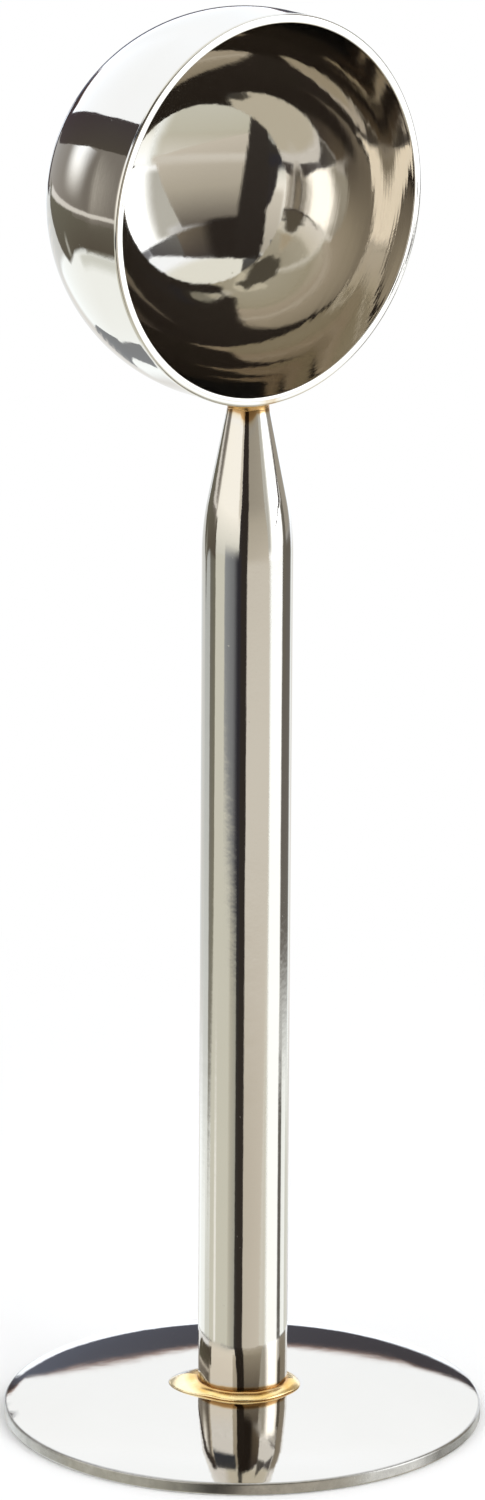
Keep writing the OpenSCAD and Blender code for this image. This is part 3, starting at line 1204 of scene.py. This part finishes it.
# Left and behind, near the spoon: a brown curtain with a dark rail that rises towards the camera
card(
    "curtain", ((-163, -11, -166, -7), (-155, -10, -159, -5), (-127, -10, 12), (-97, -10, 22)),
    ("958d82", "6a6359", "6f685f", "97928a"), (3, 0, 0, 0), 2, near=True,
)
card(
    "curtain_glow", ((-136, -7, -137, 8), (-108, -7, -105, 16)), (CREAM, CREAM, WHITE, WHITE),
    (12, 15, 14, 0), 3, glow=1.1, near=True,
)
card(
    "curtain_edge", ((-105, -14, 20), (-94, -14, 22)), ("8d8478", "a8a092", CREAM, "a39c8f"),
    (9, 0, 10, 0), 3, near=True,
)
card(
    "curtain_low",
    (
        (-155, -12, -158, -9), (-147, -15.5, -149, -9), (-140, -19.8, -141, -9), (-133, -23.2, -134, -9),
        (-128, -22.6, -9), (-122, -20.8, -9), (-113, -19.8, -9), (-104, -20.3, -9), (-90, -21.5, -9),
    ),
    ("5d574a", "4f473c", "5d574b", "676354"), (1, 0, 0.6, 0), 2, near=True,
)
card(
    "curtain_fold", ((-131, -22, -133, -15), (-126, -22, -129, -15)), ("a5a295",), (2, 2, 2, 3), 3,
    near=True,
)
card("curtain_line", ((-153, -10.6, -8.6), (-98, -8, -6)), ("cfc8bc",), (2, 0, 0.6, 0.6), 4, near=True)
card(
    "rail",
    (
        (-163, -6.5, -165, -3.2), (-157, -4.8, -159, -1.5), (-147, -0.6, -152.5, 3), (-137, 4, -141, 11),
        (-127, 8.3, -129, 19), (-115, 13.8, -119, 24.5), (-104, 17.6, -110, 29.5), (-95, 18.5, 30),
    ),
    (UMBER, "4a443b", "413b3a", "3c3233"), (1, 0, 0, 0), 4, near=True,
)
card(
    "wedge", ((-166, -31, -160, -27), (-156, -38, -151, -31), (-147, -43, -142, -40)), ("7c7c7a",),
    layer=1,
)

# Far behind the curtain: posts that only the tube shows
card("post_back", upright(-178, -132, -20.5, -9), ("c2bfb6",), (8, 3, 1.5, 0), 1)
card("post_side", upright(-136, -104, -21, -9), ("d2d2ca", "5c5c56"), (4, 2, 1, 0), 2)
card(
    "post", ((-109, -21.3, -9), (-99, -21, -9), (-87, -18.9, -86, -9)),
    ("837f73", "7b7765", "423c33", "434038"), (2, 2, 1, 0), 4,
)
card("post_low", upright(-120, -88, -27, -20.3), ("cdccc0",), (6, 3, 4, 1), 1)

# Left of the camera: a cream cloth, with a grey panel low down
card("cloth_base", upright(-98, -12, -64, -25), (LINEN, "c2bdab"), (2, 8, 0, 0), 1)
card("cloth_low", upright(-98, -12, -27, -12), ("c4c0ae", "c8c4b4"), (2, 0, 4, 0), 2)
card("cloth_pleat", upright(-84, -74, -26, -19.5), ("e8e4d8",), (3, 3, 2, 1), 3)
card("cloth_mid", upright(-98, -12, -13, 3), ("c9c6b8", CREAM), (2, 0, 0, 0), 2)
card("cloth_top", upright(-98, -12, 2, 26), (CREAM, "f6f1e6"), (2, 0, 0, 10), 2)
card(
    "cloth_crease", upright(-44, -13, -40, -16), ("b8b29f", "83847b", "8c8a80", "b8b29f"), (8, 0, 8, 0),
    3,
)
card(
    "cloth_shade",
    (
        (-61, -17.6, -59, -7), (-46, -18.5, -45, -7), (-33, -19, -32, -7), (-22, -19.4, -7),
        (-10, -19.6, -7),
    ),
    ("8c8d8b", "4a484a", "4a484a", "8a8b8c"), (3, 0, 0.8, 7), 4,
)
card(
    "cloth_deep", ((-36, -18.6, -9), (-26, -19, -9), (-20, -19.3, -9), (-10, -22, -9)), ("2c2a2e",),
    (15, 0, 0.7, 6), 5,
)
card("cloth_edge", upright(-26, -12, -2, 45), ("d2c9b8", "a39b8b"), (3, 0, 8, 4), 3)

# The dark camera and what stands behind it
card("camera_dark", ((-17, -50, -14, 47), (-5, -50, 10, 47)), ("342f2a", SOOT), (1, 1, 4, 1), 6)
card(
    "camera_side", ((-24, -23.5, -20, 0), (-18, -26, -17, 10), (-12, -38, 20)), ("34302b", "2d2827"),
    (2, 0, 1, 2), 5,
)
card(
    "camera_arm", ((-15, 43, 57), (-11, 43, 57), (1, 46.5, 4, 57)), ("4b4a48", "4b463c"),
    (0.6, 0.6, 0.5, 3), 6,
)
card(
    "beam_left", ((-94, 30, 43), (-60, 31.5, 44), (-19, 33, 45)), ("3c4149", "4a4a4c"), (3, 0, 0.8, 1), 5,
)
print("Cards:", len(card_names))

# %% [markdown]
# One flag stands nearer than the rest, behind the disc. The disc lies low and sees it above the horizon,
# while the bowl looks down on it. That is what puts the dark crescent on the far side of the disc, and a
# thin dark line round the bowl's back.

# %% The flag behind the disc
FLAG_DISTANCE = 525
# Azimuth, and the height of the flag's foot and head in mm
FLAG_RIBS = (
    (165, 104, 128), (168, 72, 110), (170.3, 50, 120), (172.6, 33, 134), (176.3, 12, 140), (180, 7, 154),
    (183.7, 12, 159), (187.4, 33, 153), (189.7, 62, 136), (191.7, 86, 110), (194, 30, 144), (203, 30, 150),
)
# The flag's end begins at this azimuth, and the lath starts at this share of the height
FLAG_END = 193
LATH_START, LATH_STRENGTH = 0.9, 0.7
FLAG_ROWS = (0, 0.25, 0.5, 0.75, LATH_START, 0.95, 1)


def make_flag(name, right, left, end, lath):
    """Cloth whose colour changes from right to left and again at its end, with a lath along its head."""
    first, last = FLAG_RIBS[0][0], FLAG_RIBS[-1][0]
    points, shades = [], []
    for share in FLAG_ROWS:
        for azimuth, foot, head in FLAG_RIBS:
            way = toward(azimuth, 0) * FLAG_DISTANCE
            points.append(Vector((way.x, way.y, foot + (head - foot) * share)) * MM)
            across = (azimuth - first) / (last - first)
            cloth = Vector(seen(right)).lerp(Vector(seen(left)), fade(across - 0.2, 0.6))
            if azimuth > FLAG_END:
                cloth = Vector(seen(end))
            on_lath = max(0.0, (share - LATH_START) / (1 - LATH_START))
            shades.append([*cloth.lerp(Vector(seen(lath)), on_lath * LATH_STRENGTH), 1.0])
    return add_card(name, len(FLAG_RIBS), points, shades)


make_flag("flag_behind", "3d393a", "585a62", "392f2d", "c09a84")
print("Flag ready")

# %% [markdown]
# The lamps are large and soft. They only light the floor: in the steel they would show as plain squares, so
# reflections don't see them.

# %% Lamps
LAMP_AIM = Vector((0, 0, 0.05))


def lamp(name, azimuth, elevation, distance, size, watts):
    """A square lamp that looks at the spoon's lower half. Distance and size are metres."""
    data = bpy.data.lights.new(name, "AREA")
    data.size = size
    data.energy = watts
    thing = put(name, data)
    way = toward(azimuth, elevation)
    thing.location = way * distance + LAMP_AIM
    thing.rotation_euler = (-way).to_track_quat("-Z", "Y").to_euler()
    thing.visible_glossy = False
    return thing


lamp("soft_key", 70, 50, 0.9, 0.7, 4.1)
lamp("soft_fill", -60, 60, 1.0, 0.9, 3.0)
print("Lamps ready")

# %% [markdown]
# Last, the visual model's box is printed next to the CAD model's box. They should agree to a fraction of a
# millimetre, because every mesh was made from the same sizes.

# %% Boxes and the end
visual_box = [list(corner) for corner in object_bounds()]
for name, box in (("CAD", cad_box), ("visual", visual_box)):
    print(name, "box in mm:", [[round(value * 1000, 2) for value in corner] for corner in box])
